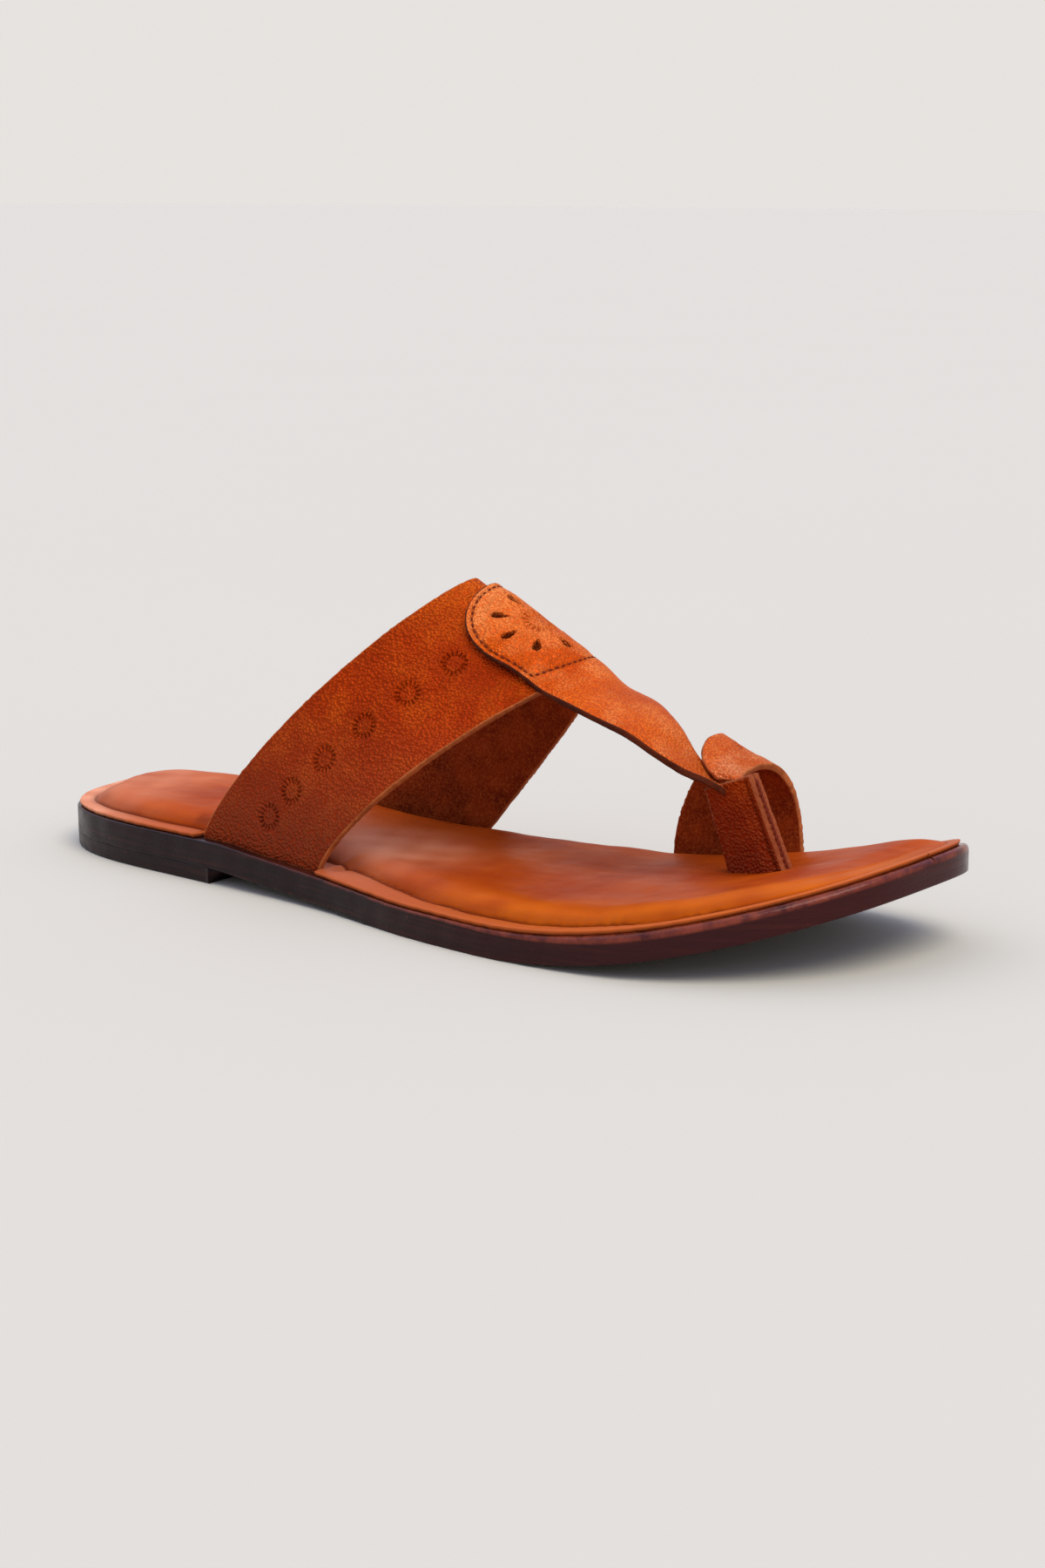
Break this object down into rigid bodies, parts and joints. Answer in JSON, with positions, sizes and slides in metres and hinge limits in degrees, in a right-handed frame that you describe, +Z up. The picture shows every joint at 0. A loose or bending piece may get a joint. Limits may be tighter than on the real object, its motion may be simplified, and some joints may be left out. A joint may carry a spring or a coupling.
{
  "type": "kolhapuri sandal",
  "caption": "Flat leather slide sandal for the right foot: padded footbed on a dark leather sole, broad instep band, T-strap with rounded head, toe post and big-toe loop.",
  "frame": {"origin": "on the floor below the centre of the shoe's bounding box", "axes": "+X from heel to toe, +Y to the medial (big toe) side, +Z up"},
  "size_m": [0.2791, 0.0996, 0.0872],
  "materials": {
    "outsole": "edge-dyed, waxed, satin",
    "heel_lift": "edge-dyed, matt",
    "footbed": "smooth tan, burnished, satin",
    "upper": "pebbled tan, stamped, satin"
  },
  "bodies": {
    "root": {"outsole": "outsole", "heel_lift": "heel_lift", "footbed": "footbed", "upper": "upper"}
  },
  "joints": []
}
